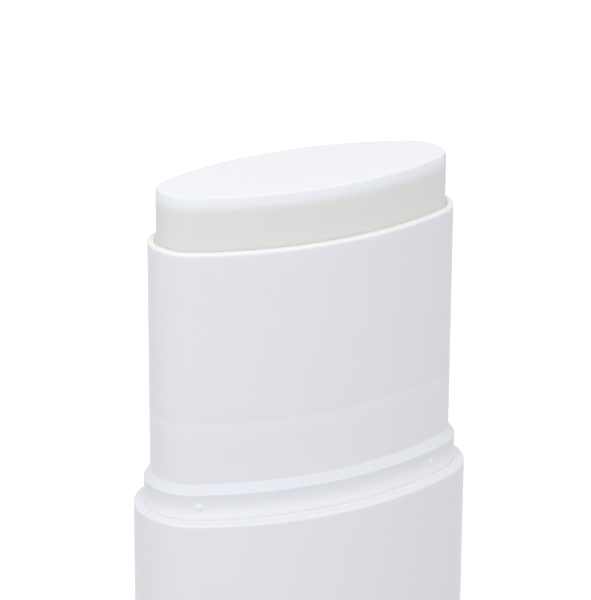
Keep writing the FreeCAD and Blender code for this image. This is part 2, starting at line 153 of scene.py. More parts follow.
class STICK_PG_colours(bpy.types.PropertyGroup):
    case: colour("Case", "White plastic of the case and the dial", (0.84, 0.85, 0.893))
    # Painted shade: the case's upward faces, chiefly the rim, get a deeper colour that dims the light falling
    # on them.
    case_rim_painted_shade: colour("Case rim", "Colour of the case's upward faces", (0.795, 0.805, 0.838))
    sleeve: colour("Sleeve", "White plastic of the inner sleeve", (0.842, 0.84, 0.89))
    # Painted light: the sleeve's inner wall is painted lighter and warmer, for light glowing in the gap round
    # the bar.
    sleeve_inside: colour("Inside of the sleeve", "Wall that the sunscreen slides along", (0.92, 0.90, 0.85))
    collar: colour("Collar", "White plastic of the collar and its bevel", (0.79, 0.805, 0.85))
    # Painted light: the collar is painted lighter towards its foot, for light bounced off the case's rim.
    collar_foot_painted_light: colour("Collar foot", "White plastic where the collar meets the case", (0.925, 0.93, 0.97))
    inner: colour("Inner parts", "Natural plastic of the elevator and the screw", (0.80, 0.82, 0.80))
    seal: colour("Seal ring", "Silicone of the seal ring", (0.66, 0.66, 0.66))
    bar_side: colour("Bar side", "Sunscreen on the side of the bar", (0.783, 0.783, 0.777))
    # Painted light: the band just below the upper edge is painted lighter, for light from the top spreading
    # into the side.
    bar_shoulder_painted_light: colour("Bar shoulder", "Sunscreen just below the upper edge", (0.86, 0.88, 0.925))
    bar_edge: colour("Bar edge", "Thin line that the mould leaves round the upper edge", (0.81, 0.84, 0.90))
    # Painted shade: the rounded upper edge is painted darker, against the light that gathers on it.
    bar_round_painted_shade: colour("Bar rounding", "Sunscreen on the rounded upper edge", (0.75, 0.76, 0.787))
    # Painted light: what faces up on the bar is painted lighter, for the light from above.
    bar_top_painted_light: colour("Bar top", "Sunscreen on the bar's slightly domed top", (0.83, 0.838, 0.868))
    # Partly a real film of sunscreen, partly painted light: lighter and warmer than the bar, for light
    # glowing in the gap between the bar and the lip.
    film: colour("Sunscreen film", "Thin film left between the bar and the lip", (0.92, 0.88, 0.79))
    floor: colour("Floor", "Floor and backdrop", (0.55, 0.55, 0.55))


class STICK_PG_finish(bpy.types.PropertyGroup):
    case_roughness: share("Case roughness", "Roughness of the case and the dial", 0.38)
    sleeve_roughness: share("Sleeve roughness", "Roughness of the inner sleeve", 0.42)
    inner_roughness: share("Inner roughness", "Roughness of the elevator and the screw", 0.5)
    bar_roughness: share("Bar roughness", "Roughness of the sunscreen", 0.5)
    gloss: share("Gloss", "Specular level of the satin plastic and of the sunscreen", 0.2)
    sleeve_depth: length("Sleeve scatter", "How far light spreads inside the sleeve's plastic", 1.0)
    bar_depth: length("Bar scatter", "How far light spreads inside the sunscreen", 1.6)
    mould_grain: length("Mould grain", "Height of the fine grain on moulded faces", 0.004)
    wax_grain: length("Wax grain", "Height of the ripples on the cast sunscreen", 0.01)


class STICK_PG_sleeve(bpy.types.PropertyGroup):
    bevel_rise: length("Bevel rise", "Height of the collar's bevel above its upright wall", 1.3)
    collar_reach: length("Collar reach", "Height of the collar's upright wall above the case", 3.75)
    # Painted light and shade: a faint line level with the elevator's rim, lighter just below and darker just
    # above, for the elevator seen through the thin wall.
    painted_show_through_soft: length("Witness softness", "Half the height over which the witness line turns light", 0.45)
    painted_show_through_fade: length("Witness fade", "Height over which the witness line fades out, above and below", 2.4)
    painted_show_through_light: share("Witness light", "How much lighter the wall is just below the witness line", 0.022)
    painted_show_through_dark: share("Witness dark", "How much darker the wall is just above the witness line", 0.007)


class STICK_PG_bar(bpy.types.PropertyGroup):
    end_radius: length("End radius", "Radius of the two ends of the outline inside the case", 8.41)
    edge_drop: length("Edge drop", "Height of the bar's rounded upper edge", 0.68)
    edge_reach: length("Edge reach", "Width of the bar's rounded upper edge", 0.45)
    edge_kink: angle("Edge kink", "Turn of the surface at the foot of the rounded edge", 6.0)
    crown: length("Crown", "Height of the bar's slightly domed top", 0.04)
    # Painted light: depth of the lighter band painted below the edge.
    shoulder: length("Shoulder", "Depth below the edge to which the bar looks lighter", 1.6)
    line: length("Mould line", "Half the width of the line round the upper edge", 0.14)
    foot_step: length("Foot step", "How much the bar narrows where it stands in the elevator", 0.97)
    foot_height: length("Foot height", "Height of the narrow foot in the elevator", 4.0)
    bore_radius: length("Bore radius", "Radius of the hole round the screw", 3.7)
    cap: length("Cap", "Thickness of the sunscreen over the end of the hole", 2.9)
    gap: length("Gap", "Room between the bar and the sleeve's wall", 0.18)
    film_drop: length("Film drop", "How far the film of sunscreen lies below the lip", 0.1)
    film_height: length("Film height", "Height of the film between the bar and the sleeve", 0.6)
    film_slack: length("Film slack", "Room on each side of the film", 0.02)


class STICK_PG_dial(bpy.types.PropertyGroup):
    height: length("Height", "Height of the dial's wheel", 10.0)
    wall: length("Wall", "Thickness of the wheel's wall, ribs included", 1.6)
    bed: length("Bed", "Thickness of the wheel's floor", 1.4)
    round: length("Edge round", "Radius of the wheel's lower edge", 0.5)
    hub_radius: length("Hub radius", "Radius of the hub that holds the screw's tail", 4.35)
    socket_side: length("Socket side", "Side of the square socket in the hub", 3.66)
    socket_depth: length("Socket depth", "Depth of the square socket in the hub", 7.03)
    spoke_wide: length("Spoke width", "Thickness of a spoke", 1.0)
    spokes: IntProperty(name="Spokes", description="Number of spokes", default=4, min=1)
    rib_radius: length("Rib radius", "Radius of a grip rib", 0.45)
    rib_stand: length("Rib height", "How far a grip rib stands out of the wheel", 0.36)
    ribs: IntProperty(name="Ribs", description="Number of grip ribs round the wheel", default=48, min=1)


class STICK_PG_stage(bpy.types.PropertyGroup):
    azimuth: angle("Azimuth", "Side from which the camera looks", -27.48)
    elevation: angle("Elevation", "Height from which the camera looks", 21.42)
    roll: angle("Roll", "Turn of the camera about its view", 0.305)
    distance: length("Distance", "From the camera to the point it aims at", 451.9)
    aim_height: length("Aim height", "Height of the point that the camera aims at", 54.66)
    aim_sideways: length("Aim sideways", "Sideways place of the point that the camera aims at", -0.94)
    lens: amount("Lens", "Focal length in millimetres", 197.2)
    ambient: amount("Ambient", "Strength of the light from all round", 0.80)
    key_power: amount("Key", "Power of the front left light in watts", 1.18)
    floor_glow: share("Floor glow", "Plain white that the camera sees on top of the lit floor", 0.65)


def settings(group):
    return getattr(bpy.context.scene, f"stick_{group}")


# ---------------------------------------------------------------------------------------------------------
# Shader helpers
# ---------------------------------------------------------------------------------------------------------
def add_node(tree, kind, settings_of_node=None, **inputs):
    """A node with its settings and its unlinked inputs; spaces in a name are underscores."""
    made = tree.nodes.new(kind)
    for name, value in (settings_of_node or {}).items():
        setattr(made, name, value)
    for name, value in inputs.items():
        made.inputs[name.replace("_", " ")].default_value = value
    return made


def new_group(name, kind, takes, gives):
    """An empty node group with its sockets, given as (name, socket type, default)."""
    group = bpy.data.node_groups.new(name, kind)
    for label, socket, default in takes:
        made = group.interface.new_socket(name=label, in_out="INPUT", socket_type=socket)
        if default is not None:
            made.default_value = default
    for label, socket in gives:
        group.interface.new_socket(name=label, in_out="OUTPUT", socket_type=socket)
    return group, group.nodes.new("NodeGroupInput"), group.nodes.new("NodeGroupOutput")


def new_material(name):
    material = bpy.data.materials.new(name)
    material.use_nodes = True
    material.node_tree.nodes.clear()
    return material


def rgba(value):
    return (value[0], value[1], value[2], 1.0)


def moulded_group():
    """Colour, roughness and height of a moulded face: soft flow clouds and a fine spark-eroded grain."""
    name = "Moulded plastic"
    if name in bpy.data.node_groups:
        return bpy.data.node_groups[name]
    takes = (
        ("Colour", "NodeSocketColor", (0.8, 0.8, 0.8, 1.0)),
        ("Cloudiness", "NodeSocketFloat", 0.02),
        ("Cloud size", "NodeSocketFloat", 60.0),
        ("Grain size", "NodeSocketFloat", 2500.0),
        ("Roughness", "NodeSocketFloat", 0.4),
        ("Roughness spread", "NodeSocketFloat", 0.05),
    )
    gives = (("Colour", "NodeSocketColor"), ("Roughness", "NodeSocketFloat"), ("Height", "NodeSocketFloat"))
    group, given, out = new_group(name, "ShaderNodeTree", takes, gives)
    link = group.links.new
    place = add_node(group, "ShaderNodeTexCoord")
    clouds = add_node(group, "ShaderNodeTexNoise", **CLOUD_NOISE)
    grain = add_node(group, "ShaderNodeTexNoise", **GRAIN_NOISE)
    link(place.outputs["Object"], clouds.inputs["Vector"])
    link(place.outputs["Object"], grain.inputs["Vector"])
    link(given.outputs["Cloud size"], clouds.inputs["Scale"])
    link(given.outputs["Grain size"], grain.inputs["Scale"])
    centred = add_node(group, "ShaderNodeMath", {"operation": "SUBTRACT"})
    centred.inputs[1].default_value = NOISE_MIDDLE
    link(clouds.outputs["Fac"], centred.inputs[0])
    swing = add_node(group, "ShaderNodeMath", {"operation": "MULTIPLY_ADD"})
    swing.inputs[2].default_value = 1.0
    link(centred.outputs[0], swing.inputs[0])
    link(given.outputs["Cloudiness"], swing.inputs[1])
    tone = add_node(group, "ShaderNodeVectorMath", {"operation": "SCALE"})
    link(given.outputs["Colour"], tone.inputs[0])
    link(swing.outputs[0], tone.inputs["Scale"])
    link(tone.outputs[0], out.inputs["Colour"])
    rough = add_node(group, "ShaderNodeMath", {"operation": "MULTIPLY_ADD", "use_clamp": True})
    link(centred.outputs[0], rough.inputs[0])
    link(given.outputs["Roughness spread"], rough.inputs[1])
    link(given.outputs["Roughness"], rough.inputs[2])
    link(rough.outputs[0], out.inputs["Roughness"])
    link(grain.outputs["Fac"], out.inputs["Height"])
    return group


def level_fade(tree, height, low, high):
    """0 below the low level and 1 above the high one, with a soft change between them."""
    fade = add_node(tree, "ShaderNodeMapRange", {"interpolation_type": "SMOOTHSTEP"})
    fade.inputs["From Min"].default_value = low
    fade.inputs["From Max"].default_value = high
    tree.links.new(height, fade.inputs["Value"])
    return fade.outputs["Result"]


def mix_colours(tree, mask, first, second):
    """Colours mixed by a mask; each is a socket or a plain colour."""
    mix = add_node(tree, "ShaderNodeMix", {"data_type": "RGBA"})
    tree.links.new(mask, mix.inputs[0])
    for socket, value in ((mix.inputs[6], first), (mix.inputs[7], second)):
        if isinstance(value, bpy.types.NodeSocket):
            tree.links.new(value, socket)
        else:
            socket.default_value = rgba(value)
    return mix.outputs[2]


def facing_inwards(tree):
    """1 on walls that face the spindle's axis, 0 elsewhere."""
    place = add_node(tree, "ShaderNodeTexCoord")
    flat = add_node(tree, "ShaderNodeVectorMath", {"operation": "MULTIPLY"})
    flat.inputs[1].default_value = (1.0, 1.0, 0.0)
    outward = add_node(tree, "ShaderNodeVectorMath", {"operation": "DOT_PRODUCT"})
    inside = add_node(tree, "ShaderNodeMath", {"operation": "LESS_THAN"})
    inside.inputs[1].default_value = 0.0
    tree.links.new(place.outputs["Object"], flat.inputs[0])
    tree.links.new(flat.outputs[0], outward.inputs[0])
    tree.links.new(place.outputs["Normal"], outward.inputs[1])
    tree.links.new(outward.outputs["Value"], inside.inputs[0])
    return inside.outputs[0]


def plastic(name, tint, roughness, scatter=0.0, scatter_weight=0.0, painter=None):
    """Moulded plastic; a painter may tint it further, painted light and shade included, and light may scatter
    inside it.
    """
    look = settings("finish")
    material = new_material(name)
    tree = material.node_tree
    link = tree.links.new
    surface = add_node(tree, "ShaderNodeGroup", {"node_tree": moulded_group()})
    surface.inputs["Colour"].default_value = rgba(tint)
    surface.inputs["Roughness"].default_value = roughness
    shader = add_node(tree, "ShaderNodeBsdfPrincipled", IOR=PLASTIC_IOR)
    shader.inputs["Specular IOR Level"].default_value = look.gloss
    shader.inputs["Subsurface Weight"].default_value = scatter_weight
    shader.inputs["Subsurface Scale"].default_value = scatter
    shader.inputs["Subsurface Radius"].default_value = PLASTIC_SCATTER
    bump = add_node(tree, "ShaderNodeBump", Strength=1.0, Distance=look.mould_grain)
    out = add_node(tree, "ShaderNodeOutputMaterial")
    painted = surface.outputs["Colour"]
    if painter is not None:
        painted = painter(tree, painted)
    link(painted, shader.inputs["Base Color"])
    link(surface.outputs["Roughness"], shader.inputs["Roughness"])
    link(surface.outputs["Height"], bump.inputs["Height"])
    link(bump.outputs["Normal"], shader.inputs["Normal"])
    link(shader.outputs["BSDF"], out.inputs["Surface"])
    return material


def case_painted_shade(tree, tone):
    """Painted shade: a slightly deeper tone on what faces up, which is the rim round the collar, to dim the
    light that falls on it.
    """
    place = add_node(tree, "ShaderNodeTexCoord")
    facing = add_node(tree, "ShaderNodeSeparateXYZ")
    tree.links.new(place.outputs["Normal"], facing.inputs[0])
    upward = level_fade(tree, facing.outputs["Z"], *RIM_SHADE_FACING)
    return mix_colours(tree, upward, tone, settings("colours").case_rim_painted_shade)


def sleeve_tints_and_painted_light(tree, tone):
    """Painted light and shade on the sleeve: the collar painted lighter towards its foot for light bounced
    off the case's rim, the inside painted lighter and warmer for light glowing in the gap, and a faint line
    level with the elevator's rim, painted lighter below and darker above for the elevator seen through the
    wall.
    """
    tones = settings("colours")
    sleeve = settings("sleeve")
    link = tree.links.new
    place = add_node(tree, "ShaderNodeTexCoord")
    parts = add_node(tree, "ShaderNodeSeparateXYZ")
    link(place.outputs["Object"], parts.inputs[0])
    height = parts.outputs["Z"]
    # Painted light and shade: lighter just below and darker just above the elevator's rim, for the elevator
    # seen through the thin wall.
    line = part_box("elevator")[1].z
    upper = line + sleeve.painted_show_through_soft
    lower = line - sleeve.painted_show_through_soft
    risen = level_fade(tree, height, upper, lower)
    faded = level_fade(tree, height, lower, lower - sleeve.painted_show_through_fade)
    near = level_fade(tree, height, upper + sleeve.painted_show_through_fade, upper)
    light = add_node(tree, "ShaderNodeMath", {"operation": "SUBTRACT"})
    dark = add_node(tree, "ShaderNodeMath", {"operation": "SUBTRACT"})
    lighter = add_node(tree, "ShaderNodeMath", {"operation": "MULTIPLY_ADD"})
    lighter.inputs[1].default_value = sleeve.painted_show_through_light
    lighter.inputs[2].default_value = 1.0
    level = add_node(tree, "ShaderNodeMath", {"operation": "MULTIPLY_ADD"})
    level.inputs[1].default_value = -sleeve.painted_show_through_dark
    scaled = add_node(tree, "ShaderNodeVectorMath", {"operation": "SCALE"})
    link(risen, light.inputs[0])
    link(faded, light.inputs[1])
    link(near, dark.inputs[0])
    link(risen, dark.inputs[1])
    link(light.outputs[0], lighter.inputs[0])
    link(dark.outputs[0], level.inputs[0])
    link(lighter.outputs[0], level.inputs[2])
    link(tone, scaled.inputs[0])
    link(level.outputs[0], scaled.inputs["Scale"])
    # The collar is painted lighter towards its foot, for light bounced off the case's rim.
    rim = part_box("base_shell")[1].z
    bevel_top = rim + sleeve.collar_reach + sleeve.bevel_rise
    above = level_fade(tree, height, bevel_top - COLLAR_SOFT, bevel_top + COLLAR_SOFT)
    nearing = level_fade(tree, height, rim + sleeve.collar_reach, rim)
    collar = mix_colours(tree, nearing, tones.collar, tones.collar_foot_painted_light)
    outside = mix_colours(tree, above, collar, scaled.outputs[0])
    # The inner wall is painted lighter and warmer, for light glowing in the gap round the bar.
    return mix_colours(tree, facing_inwards(tree), outside, tones.sleeve_inside)


def sunscreen_wax_painted_light_and_shade(edge):
    """Cast sunscreen: a top painted lighter for the light from above, the mould's line round its edge, a
    shoulder painted lighter for light spreading in from the top, a rounded edge painted darker, and a warmer
    side.
    """
    tones = settings("colours")
    look = settings("finish")
    bar = settings("bar")
    material = new_material("sunscreen_wax_painted_light_and_shade")
    tree = material.node_tree
    link = tree.links.new
    place = add_node(tree, "ShaderNodeTexCoord")
    parts = add_node(tree, "ShaderNodeSeparateXYZ")
    link(place.outputs["Object"], parts.inputs[0])
    height = parts.outputs["Z"]
    # Painted light: the shoulder below the edge is painted lighter, for light from the top spreading into the
    # side.
    shoulder = level_fade(tree, height, edge - bar.shoulder, edge)
    tone = mix_colours(tree, shoulder, tones.bar_side, tones.bar_shoulder_painted_light)
    # Painted shade: the rounded edge is painted darker, against the light that gathers on it.
    rounding = level_fade(tree, height, edge, edge + ROUNDING_SHADE_SHARE * bar.edge_drop)
    tone = mix_colours(tree, rounding, tone, tones.bar_round_painted_shade)
    # Painted light: what faces up is painted lighter, for the light from above.
    facing = add_node(tree, "ShaderNodeSeparateXYZ")
    link(place.outputs["Normal"], facing.inputs[0])
    tone = mix_colours(tree, level_fade(tree, facing.outputs["Z"], *TOP_LIGHT_FACING), tone, tones.bar_top_painted_light)
    line = add_node(tree, "ShaderNodeMath", {"operation": "SUBTRACT"})
    link(level_fade(tree, height, edge - bar.line, edge), line.inputs[0])
    link(level_fade(tree, height, edge, edge + bar.line), line.inputs[1])
    tone = mix_colours(tree, line.outputs[0], tone, tones.bar_edge)
    pour = add_node(tree, "ShaderNodeTexNoise", **POUR_NOISE)
    link(place.outputs["Object"], pour.inputs["Vector"])
    shader = add_node(tree, "ShaderNodeBsdfPrincipled", IOR=WAX_IOR)
    shader.inputs["Specular IOR Level"].default_value = look.gloss
    shader.inputs["Subsurface Weight"].default_value = WAX_SCATTER_WEIGHT
    shader.inputs["Subsurface Scale"].default_value = look.bar_depth
    shader.inputs["Subsurface Radius"].default_value = WAX_SCATTER
    rough = add_node(tree, "ShaderNodeMapRange")
    rough.inputs["To Min"].default_value = look.bar_roughness - WAX_ROUGHNESS_SPREAD
    rough.inputs["To Max"].default_value = look.bar_roughness + WAX_ROUGHNESS_SPREAD
    link(pour.outputs["Fac"], rough.inputs["Value"])
    bump = add_node(tree, "ShaderNodeBump", Strength=1.0, Distance=look.wax_grain)
    out = add_node(tree, "ShaderNodeOutputMaterial")
    link(tone, shader.inputs["Base Color"])
    link(rough.outputs["Result"], shader.inputs["Roughness"])
    link(pour.outputs["Fac"], bump.inputs["Height"])
    link(bump.outputs["Normal"], shader.inputs["Normal"])
    link(shader.outputs["BSDF"], out.inputs["Surface"])
    return material


def dress(node, material):
    """Give a CAD node its material."""
    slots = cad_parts[node].data.materials
    slots.clear()
    slots.append(material)


# ---------------------------------------------------------------------------------------------------------
# Mesh helpers
# ---------------------------------------------------------------------------------------------------------
def outline_arcs():
    """The four arcs that the sleeve and the bar follow: middle, radius, first and last direction, steps."""
    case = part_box("base_shell")[1]
    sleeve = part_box("inner_sleeve")[1]
    half_width = sleeve.y + case.x - sleeve.x
    end = settings("bar").end_radius
    middle = case.x - end
    side = (middle**2 + half_width**2 - end**2) / (2 * (half_width - end))
    drop = side - half_width
    join = math.atan2(drop, middle)
    return (
        (middle, 0.0, end, -join, join, END_STEPS),
        (0.0, -drop, side, join, math.pi - join, SIDE_STEPS),
        (-middle, 0.0, end, math.pi - join, math.pi + join, END_STEPS),
        (0.0, drop, side, math.pi + join, FULL_TURN - join, SIDE_STEPS),
    )


def oval_ring(offset, height):
    """Points of the outline of the four arcs moved outwards by an offset, at a height."""
    ring = []
    for x, y, radius, first, last, steps in outline_arcs():
        for step in range(steps):
            turn = first + (last - first) * step / steps
            reach = radius + offset
            ring.append(Vector((x + reach * math.cos(turn), y + reach * math.sin(turn), height)))
    return ring


def scaled_ring(ring, factor, height):
    return [Vector((point.x * factor, point.y * factor, height)) for point in ring]


def directions(ring):
    return [math.atan2(point.y, point.x) for point in ring]


def even_directions(steps):
    return [FULL_TURN * step / steps for step in range(steps)]


def round_ring(turns, radius, height):
    return [Vector((radius * math.cos(turn), radius * math.sin(turn), height)) for turn in turns]


def square_ring(turns, side, height):
    """Points of a square about the axis, in the given directions."""
    ring = []
    for turn in turns:
        reach = side / 2 / max(abs(math.cos(turn)), abs(math.sin(turn)))
        ring.append(Vector((reach * math.cos(turn), reach * math.sin(turn), height)))
    return ring


def pole(height):
    return [Vector((0.0, 0.0, height))]


def finish_mesh(name, shape):
    """A mesh object with its faces outwards, smooth but for its true edges."""
    bmesh.ops.recalc_face_normals(shape, faces=shape.faces)
    mesh = bpy.data.meshes.new(name)
    shape.to_mesh(mesh)
    shape.free()
    mesh.polygons.foreach_set("use_smooth", [True] * len(mesh.polygons))
    mesh.set_sharp_from_angle(angle=SHARP_EDGE)
    piece = bpy.data.objects.new(name, mesh)
    bpy.context.scene.collection.objects.link(piece)
    return piece


def loft(name, rings):
    """A closed skin through rings of points, closed at each end by one point or by the first ring again."""
    shape = bmesh.new()
    is_loop = rings[-1] is rings[0]
    rows = [[shape.verts.new(point) for point in ring] for ring in (rings[:-1] if is_loop else rings)]
    if is_loop:
        rows.append(rows[0])
    for lower, upper in zip(rows, rows[1:]):
        count = max(len(lower), len(upper))
        for index in range(count):
            after = (index + 1) % count
            corners = (
                lower[index % len(lower)],
                lower[after % len(lower)],
                upper[after % len(upper)],
                upper[index % len(upper)],
            )
            shape.faces.new(tuple(dict.fromkeys(corners)))
    return finish_mesh(name, shape)


def repeat_group():
    """Copies of a piece turned evenly about the spindle's axis, joined into one mesh."""
    name = "Repeat round the spindle"
    if name in bpy.data.node_groups:
        return bpy.data.node_groups[name]
    takes = (
        ("Piece", "NodeSocketGeometry", None),
        ("Count", "NodeSocketInt", 4),
        ("Material", "NodeSocketMaterial", None),
    )
    group, given, out = new_group(name, "GeometryNodeTree", takes, (("Ring", "NodeSocketGeometry"),))
    link = group.links.new
    points = add_node(group, "GeometryNodePoints")
    index = add_node(group, "GeometryNodeInputIndex")
    step = add_node(group, "ShaderNodeMath", {"operation": "DIVIDE"})
    step.inputs[0].default_value = FULL_TURN
    turn = add_node(group, "ShaderNodeMath", {"operation": "MULTIPLY"})
    about = add_node(group, "ShaderNodeCombineXYZ")
    copies = add_node(group, "GeometryNodeInstanceOnPoints")
    real = add_node(group, "GeometryNodeRealizeInstances")
    paint = add_node(group, "GeometryNodeSetMaterial")
    link(given.outputs["Count"], points.inputs["Count"])
    link(given.outputs["Count"], step.inputs[1])
    link(index.outputs[0], turn.inputs[0])
    link(step.outputs[0], turn.inputs[1])
    link(turn.outputs[0], about.inputs["Z"])
    link(points.outputs[0], copies.inputs["Points"])
    link(given.outputs["Piece"], copies.inputs["Instance"])
    link(about.outputs[0], copies.inputs["Rotation"])
    link(copies.outputs[0], real.inputs[0])
    link(real.outputs[0], paint.inputs["Geometry"])
    link(given.outputs["Material"], paint.inputs["Material"])
    link(paint.outputs[0], out.inputs["Ring"])
    return group


def repeat_round(piece, count, material):
    """Replace a piece's mesh with a ring of copies of it."""
    group = repeat_group()
    modifier = piece.modifiers.new("ring", "NODES")
    modifier.node_group = group
    values = {"Count": count, "Material": material}
    for item in group.interface.items_tree:
        if item.in_out == "INPUT" and item.name in values:
            modifier[item.identifier] = values[item.name]
    single = piece.data
    ready = piece.evaluated_get(bpy.context.evaluated_depsgraph_get())
    ring = bpy.data.meshes.new_from_object(ready)
    piece.modifiers.clear()
    piece.data = ring
    bpy.data.meshes.remove(single)


# ---------------------------------------------------------------------------------------------------------
# Operators
# ---------------------------------------------------------------------------------------------------------
class STICK_OT_case(bpy.types.Operator):
    """Finish the oval case"""

    bl_idname = "stick.case"
    bl_label = "Case"

    def execute(self, context):
        tones = settings("colours")
        look = settings("finish")
        dress("base_shell", plastic("case_plastic", tones.case, look.case_roughness, painter=case_painted_shade))
        return {"FINISHED"}


class STICK_OT_sleeve(bpy.types.Operator):
    """Finish the inner sleeve"""

    bl_idname = "stick.sleeve"
    bl_label = "Sleeve"

    def execute(self, context):
        tones = settings("colours")
        look = settings("finish")
        scatter = (look.sleeve_depth, SLEEVE_SCATTER_WEIGHT)
        material = plastic("sleeve_plastic", tones.sleeve, look.sleeve_roughness, *scatter, sleeve_tints_and_painted_light)
        dress("inner_sleeve", material)
        return {"FINISHED"}


class STICK_OT_drive(bpy.types.Operator):
    """Finish the elevator, the screw and the seal ring"""

    bl_idname = "stick.drive"
    bl_label = "Drive"

    def execute(self, context):
        tones = settings("colours")
        look = settings("finish")
        natural = plastic("inner_plastic", tones.inner, look.inner_roughness)
        dress("elevator", natural)
        dress("screw_spindle", natural)
        dress("seal_ring", plastic("seal_silicone", tones.seal, look.inner_roughness))
        return {"FINISHED"}


class STICK_OT_bar(bpy.types.Operator):
    """Model the bar of sunscreen, with a soft upper edge and a hole for the screw, and the film round it,
    painted lighter and warmer for light glowing in the gap
    """

    bl_idname = "stick.bar"
    bl_label = "Bar"

    def execute(self, context):
        bar = settings("bar")
        low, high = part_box("sunscreen_bar")
        side = high.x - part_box("base_shell")[1].x
        top = high.z - bar.crown
        edge = top - bar.edge_drop
        step = low.z + bar.foot_height
        rings = [oval_ring(side, step), oval_ring(side, edge)]
        for part in range(1, ROUND_STEPS + 1):
            turn = bar.edge_kink + (QUARTER_TURN - bar.edge_kink) * part / ROUND_STEPS
            across = (math.cos(bar.edge_kink) - math.cos(turn)) / math.cos(bar.edge_kink)
            up = (math.sin(turn) - math.sin(bar.edge_kink)) / (1 - math.sin(bar.edge_kink))
            rings.append(oval_ring(side - bar.edge_reach * across, edge + bar.edge_drop * up))
        rim = rings[-1]
        for factor in CROWN_RINGS:
            rings.append(scaled_ring(rim, factor, top + bar.crown * (1 - factor**2)))
        rings.append(pole(high.z))
        turns = directions(rim)
        ceiling = high.z - bar.cap
        inward = [
            oval_ring(side - bar.foot_step, step),
            oval_ring(side - bar.foot_step, low.z),
            round_ring(turns, bar.bore_radius, low.z),
            round_ring(turns, bar.bore_radius, ceiling),
            pole(ceiling),
        ]
        sleeve_inside = side + bar.gap
        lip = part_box("inner_sleeve")[1].z
        # The film is a thin sheet of sunscreen in the gap, painted lighter and warmer than the bar for light
        # glowing in the gap.
        film_rings = [
            oval_ring(sleeve_inside - bar.film_slack, lip - bar.film_drop - bar.film_height),
            oval_ring(sleeve_inside - bar.film_slack, lip - bar.film_drop),
            oval_ring(side + bar.film_slack, lip - bar.film_drop),
            oval_ring(side + bar.film_slack, lip - bar.film_drop - bar.film_height),
        ]
        film = loft("sunscreen_film_painted_glow", film_rings + film_rings[:1])
        wax = plastic("film_of_sunscreen_painted_glow", settings("colours").film, settings("finish").bar_roughness)
        film.data.materials.append(wax)
        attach(film, "case")
        piece = loft("bar_of_sunscreen", inward[::-1] + rings)
        piece.data.materials.append(sunscreen_wax_painted_light_and_shade(edge))
        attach(piece, "carriage")
        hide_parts("sunscreen_bar")
        return {"FINISHED"}


def grip_rib(reach, radius, low, high):
    """An upright rib with domed ends, standing at a distance from the axis."""
    turns = even_directions(2 * RIB_STEPS)
    centre = Vector((reach, 0.0, 0.0))
    rings = [[centre + Vector((0.0, 0.0, low))]]
    for part in range(1, RIB_STEPS + 1):
        turn = QUARTER_TURN * part / RIB_STEPS
        rings.append(round_ring(turns, radius * math.sin(turn), low + radius * (1 - math.cos(turn))))
    for part in range(RIB_STEPS, 0, -1):
        turn = QUARTER_TURN * part / RIB_STEPS
        rings.append(round_ring(turns, radius * math.sin(turn), high - radius * (1 - math.cos(turn))))
    rings.append([centre + Vector((0.0, 0.0, high))])
    for ring in rings[1:-1]:
        for point in ring:
            point += centre
    return loft("dial_ribs", rings)


def upright_plate(name, near, far, wide, low, high):
    """A thin plate in the XZ plane, from one distance from the axis to another."""
    shape = bmesh.new()
    bmesh.ops.create_cube(shape, size=1.0)
    size = Vector((far - near, wide, high - low))
    middle = Vector(((near + far) / 2, 0.0, (low + high) / 2))
    for point in shape.verts:
        point.co = Vector(a * b for a, b in zip(point.co, size)) + middle
    level = [edge for edge in shape.edges if abs(edge.verts[0].co.z - edge.verts[1].co.z) < wide / 2]
    rounding = wide / 5
    bmesh.ops.bevel(shape, geom=level, offset=rounding, segments=PLATE_STEPS, affect="EDGES")
    return finish_mesh(name, shape)


class STICK_OT_dial(bpy.types.Operator):
    """Model the dial: a wheel with a hub and a socket, its spokes and the ribs that the fingers turn"""

    bl_idname = "stick.dial"
    bl_label = "Dial"

    def execute(self, context):
        dial = settings("dial")
        low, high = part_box("dial")
        drum = high.x - dial.rib_stand
        hollow = high.x - dial.wall
        top = low.z + dial.height
        bed = low.z + dial.bed
        socket = high.z - dial.socket_depth
        turns = even_directions(WHEEL_STEPS)
        rings = [pole(low.z), round_ring(turns, drum - dial.round, low.z)]
        for part in range(1, ROUND_STEPS + 1):
            turn = QUARTER_TURN * part / ROUND_STEPS
            reach = drum - dial.round * (1 - math.sin(turn))
            rings.append(round_ring(turns, reach, low.z + dial.round * (1 - math.cos(turn))))
        rings += [
            round_ring(turns, drum, top),
            round_ring(turns, hollow, top),
            round_ring(turns, hollow, bed),
            round_ring(turns, dial.hub_radius, bed),
            round_ring(turns, dial.hub_radius, high.z),
            square_ring(turns, dial.socket_side, high.z),
            square_ring(turns, dial.socket_side, socket),
            pole(socket),
        ]
        tones = settings("colours")
        look = settings("finish")
        material = plastic("dial_plastic", tones.case, look.case_roughness)
        wheel = loft("dial_wheel", rings)
        wheel.data.materials.append(material)
        sunk = dial.wall / 2
        near, far = dial.hub_radius - sunk, hollow + sunk
        spokes = upright_plate("dial_spokes", near, far, dial.spoke_wide, bed, top - dial.wall)
        repeat_round(spokes, dial.spokes, material)
        ribs = grip_rib(high.x - dial.rib_radius, dial.rib_radius, low.z + dial.round, top)
        repeat_round(ribs, dial.ribs, material)
        for piece in (wheel, spokes, ribs):
            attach(piece, "drive")
        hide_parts("dial")
        return {"FINISHED"}


def level_right(azimuth):
    """Level direction to the right of what looks at the object from a side."""
    return Vector((math.cos(azimuth), math.sin(azimuth), 0.0))


def view_axes(azimuth, elevation, roll):
    """Right, up and back of a camera or a light that looks at the object."""
    flat = math.cos(elevation)
    back = Vector((math.sin(azimuth) * flat, -math.cos(azimuth) * flat, math.sin(elevation)))
    level = level_right(azimuth)
    right = level * math.cos(roll) + back.cross(level) * math.sin(roll)
    return right, back.cross(right), back


